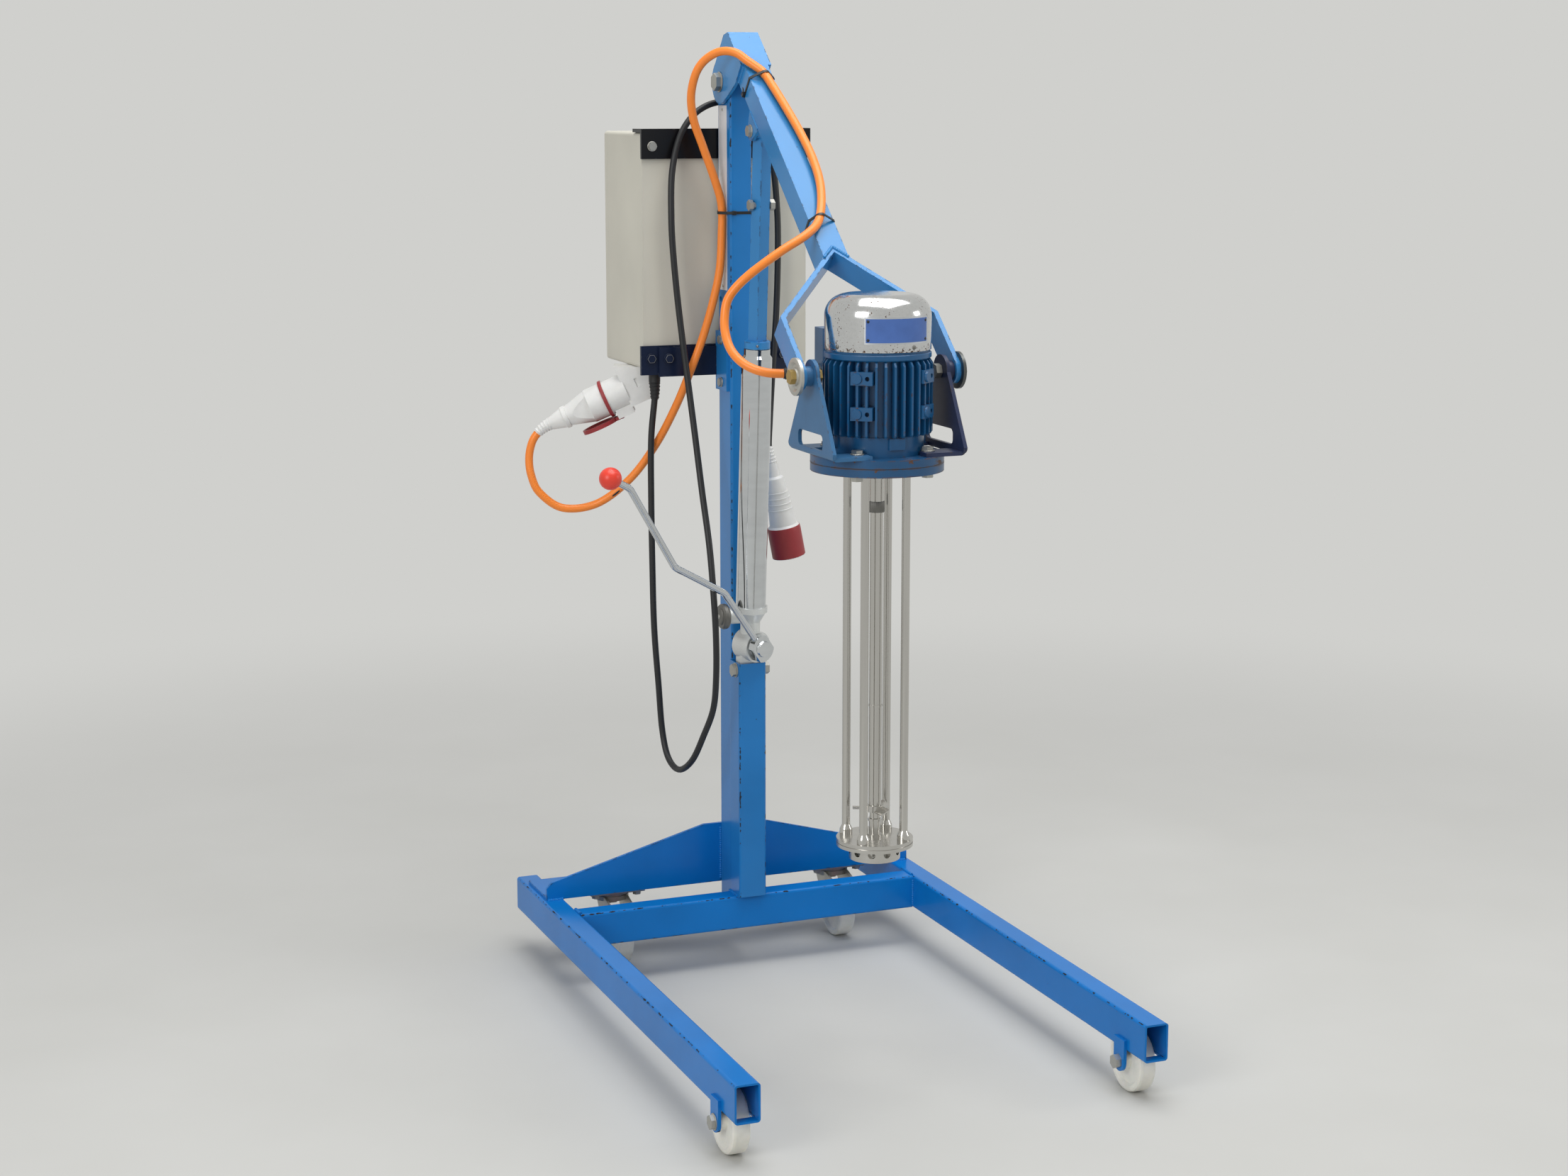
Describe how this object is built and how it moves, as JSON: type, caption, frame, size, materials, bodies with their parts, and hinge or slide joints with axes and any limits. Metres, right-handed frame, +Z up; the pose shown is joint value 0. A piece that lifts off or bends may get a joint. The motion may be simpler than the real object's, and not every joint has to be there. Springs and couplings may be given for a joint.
{
  "type": "high-shear homogenizer",
  "caption": "Mobile high-shear homogenizer: wheeled base, column, hydraulic lift arm and a motor head that stays plumb and drives a rotor-stator on a long shaft.",
  "frame": {"origin": "on the floor, under the middle of the stand's overall box without its cables", "axes": "+Z up, -Y towards the open front of the base where the mixing head hangs, +X to the right seen from the front"},
  "size_m": [0.7316, 1.183, 1.6185],
  "materials": {
    "base_rails": "bright blue paint, worn at the edges",
    "rear_crossmember": "bright blue paint, worn at the edges",
    "column": "bright blue paint, worn at the edges",
    "jack_post": "bright blue paint, worn at the edges",
    "front_axles": "zinc plate",
    "caster_plates": "zinc plate",
    "frame_bolts": "zinc plate",
    "pivot_bolts": "zinc plate",
    "enclosure_body": "cream powder coat",
    "enclosure_brackets": "dark navy paint",
    "starter_unit": "moulded",
    "socket_housing": "moulded",
    "power_plug": "moulded",
    "motor_cable_lower": "orange sheath",
    "mains_gland": "black sheath",
    "mains_cable": "black sheath",
    "mains_plug": "moulded",
    "column_tie": "black sheath",
    "front_wheel_left": "yellowed nylon",
    "front_wheel_right": "yellowed nylon",
    "caster_fork_left": "zinc plate",
    "caster_fork_right": "zinc plate",
    "caster_wheel_left": "yellowed nylon",
    "caster_wheel_right": "yellowed nylon",
    "brake_pedal_left": "moulded",
    "brake_pedal_right": "moulded",
    "pump_body": "cast",
    "jack_cylinder": "bright plate",
    "release_knob": "cast",
    "pump_lever": "bright plate",
    "lever_knob": "moulded",
    "ram_rod": "bright plate",
    "push_tube": "bright blue paint, worn at the edges",
    "ram_bolt": "zinc plate",
    "lift_arm": "bright blue paint, worn at the edges",
    "link_bolt": "zinc plate",
    "yoke": "bright blue paint, worn at the edges",
    "trunnion_bolts": "dull",
    "trunnion_discs": "zinc plate",
    "arm_ties": "black sheath",
    "motor_cable_upper": "orange sheath",
    "motor_frame": "dark blue paint, rust at the edges",
    "fan_cowl": "bright plate",
    "motor_flange": "dark blue paint, rust at the edges",
    "mixer_flange": "dark blue paint, rust at the edges",
    "hanger_brackets": "dark blue paint, rust at the edges",
    "terminal_box": "dark blue paint, rust at the edges",
    "cable_gland": "zinc plate",
    "flange_bolts": "zinc plate",
    "tie_rods": "stainless",
    "base_disc": "stainless",
    "stator_head": "stainless",
    "shaft_bearings": "dull",
    "drive_shaft": "stainless",
    "rotor": "stainless",
    "propeller": "stainless",
    "cooling_fan": "moulded",
    "enclosure_door": "cream powder coat",
    "main_switch": "moulded",
    "socket_lid": "moulded"
  },
  "bodies": {
    "base": {"base_rails": "base_rails", "rear_crossmember": "rear_crossmember", "column": "column", "jack_post": "jack_post", "front_axles": "front_axles", "caster_plates": "caster_plates", "frame_bolts": "frame_bolts", "pivot_bolts": "pivot_bolts", "enclosure_body": "enclosure_body", "enclosure_brackets": "enclosure_brackets", "starter_unit": "starter_unit", "socket_housing": "socket_housing", "power_plug": "power_plug", "motor_cable_lower": "motor_cable_lower", "mains_gland": "mains_gland", "mains_cable": "mains_cable", "mains_plug": "mains_plug", "column_tie": "column_tie"},
    "front_wheel_left": {"front_wheel_left": "front_wheel_left"},
    "front_wheel_right": {"front_wheel_right": "front_wheel_right"},
    "caster_left": {"caster_fork_left": "caster_fork_left"},
    "caster_right": {"caster_fork_right": "caster_fork_right"},
    "caster_wheel_left": {"caster_wheel_left": "caster_wheel_left"},
    "caster_wheel_right": {"caster_wheel_right": "caster_wheel_right"},
    "brake_left": {"brake_pedal_left": "brake_pedal_left"},
    "brake_right": {"brake_pedal_right": "brake_pedal_right"},
    "jack": {"pump_body": "pump_body", "jack_cylinder": "jack_cylinder"},
    "release_valve": {"release_knob": "release_knob"},
    "lever": {"pump_lever": "pump_lever", "lever_knob": "lever_knob"},
    "ram": {"ram_rod": "ram_rod", "push_tube": "push_tube", "ram_bolt": "ram_bolt"},
    "arm": {"lift_arm": "lift_arm", "link_bolt": "link_bolt", "yoke": "yoke", "trunnion_bolts": "trunnion_bolts", "trunnion_discs": "trunnion_discs", "arm_ties": "arm_ties", "motor_cable_upper": "motor_cable_upper"},
    "head": {"motor_frame": "motor_frame", "fan_cowl": "fan_cowl", "motor_flange": "motor_flange", "mixer_flange": "mixer_flange", "hanger_brackets": "hanger_brackets", "terminal_box": "terminal_box", "cable_gland": "cable_gland", "flange_bolts": "flange_bolts", "tie_rods": "tie_rods", "base_disc": "base_disc", "stator_head": "stator_head", "shaft_bearings": "shaft_bearings"},
    "mixer": {"drive_shaft": "drive_shaft", "rotor": "rotor", "propeller": "propeller", "cooling_fan": "cooling_fan"},
    "door": {"enclosure_door": "enclosure_door"},
    "switch": {"main_switch": "main_switch"},
    "lid": {"socket_lid": "socket_lid"}
  },
  "joints": [
    {"name": "arm_lift", "type": "hinge", "parent": "base", "child": "arm", "pos_m": [0, 0.3255, 1.537], "axis": [-1, 0, 0], "range_deg": [0, 40], "deforming": ["motor_cable_lower"]},
    {"name": "jack_tilt", "type": "hinge", "parent": "base", "child": "jack", "pos_m": [0, 0.2635, 0.535], "axis": [1, 0, 0], "range_deg": [0, 1.2]},
    {"name": "ram_slide", "type": "slide", "parent": "jack", "child": "ram", "axis": [0, -0.0727, 0.9974], "range_m": [0, 0.104]},
    {"name": "head_level", "type": "hinge", "parent": "arm", "child": "head", "pos_m": [0, -0.27997, 1.10288], "axis": [1, 0, 0], "range_deg": [0, 40], "deforming": ["motor_cable_upper"]},
    {"name": "pump_stroke", "type": "hinge", "parent": "jack", "child": "lever", "pos_m": [0, 0.2603, 0.57888], "axis": [0.342, -0.9372, -0.0683], "range_deg": [-10, 50]},
    {"name": "valve_turn", "type": "hinge", "parent": "jack", "child": "release_valve", "pos_m": [0, 0.25637, 0.63274], "axis": [-1, 0, 0], "range_deg": [0, 180]},
    {"name": "front_roll_left", "type": "hinge", "parent": "base", "child": "front_wheel_left", "pos_m": [-0.333, -0.5205, 0.05], "axis": [1, 0, 0], "continuous": true},
    {"name": "front_roll_right", "type": "hinge", "parent": "base", "child": "front_wheel_right", "pos_m": [0.333, -0.5205, 0.05], "axis": [1, 0, 0], "continuous": true},
    {"name": "caster_swivel_left", "type": "hinge", "parent": "base", "child": "caster_left", "pos_m": [-0.212, 0.4005, 0.115], "axis": [0, 0, 1], "continuous": true},
    {"name": "caster_roll_left", "type": "hinge", "parent": "caster_left", "child": "caster_wheel_left", "pos_m": [-0.212, 0.3655, 0.05], "axis": [1, 0, 0], "continuous": true},
    {"name": "brake_left", "type": "hinge", "parent": "caster_left", "child": "brake_left", "pos_m": [-0.212, 0.3385, 0.1], "axis": [1, 0, 0], "range_deg": [0, 14]},
    {"name": "caster_swivel_right", "type": "hinge", "parent": "base", "child": "caster_right", "pos_m": [0.212, 0.4005, 0.115], "axis": [0, 0, 1], "continuous": true},
    {"name": "caster_roll_right", "type": "hinge", "parent": "caster_right", "child": "caster_wheel_right", "pos_m": [0.212, 0.3655, 0.05], "axis": [1, 0, 0], "continuous": true},
    {"name": "brake_right", "type": "hinge", "parent": "caster_right", "child": "brake_right", "pos_m": [0.212, 0.3385, 0.1], "axis": [1, 0, 0], "range_deg": [0, 14]},
    {"name": "mixer_spin", "type": "hinge", "parent": "head", "child": "mixer", "pos_m": [0, -0.27997, 1.10288], "axis": [0, 0, 1], "continuous": true},
    {"name": "door_swing", "type": "hinge", "parent": "base", "child": "door", "pos_m": [0.1515, 0.5455, 1.253], "axis": [0, 0, -1], "range_deg": [0, 110]},
    {"name": "switch_turn", "type": "hinge", "parent": "door", "child": "switch", "pos_m": [-0.005, 0.5615, 1.301], "axis": [0, 1, 0], "range_deg": [0, 90]},
    {"name": "lid_flap", "type": "hinge", "parent": "base", "child": "lid", "pos_m": [-0.16989, 0.4361, 0.96681], "axis": [-0.342, -0.9397, 0], "range_deg": [0, 55], "stiffness_Nm_per_rad": 0.03, "springref_deg": -68.75}
  ],
  "couplings": [
    {"joint": "jack_tilt", "follows": "arm_lift", "ratio": 0.028},
    {"joint": "ram_slide", "follows": "arm_lift", "m_per_rad": 0.147},
    {"joint": "head_level", "follows": "arm_lift", "ratio": 1}
  ]
}
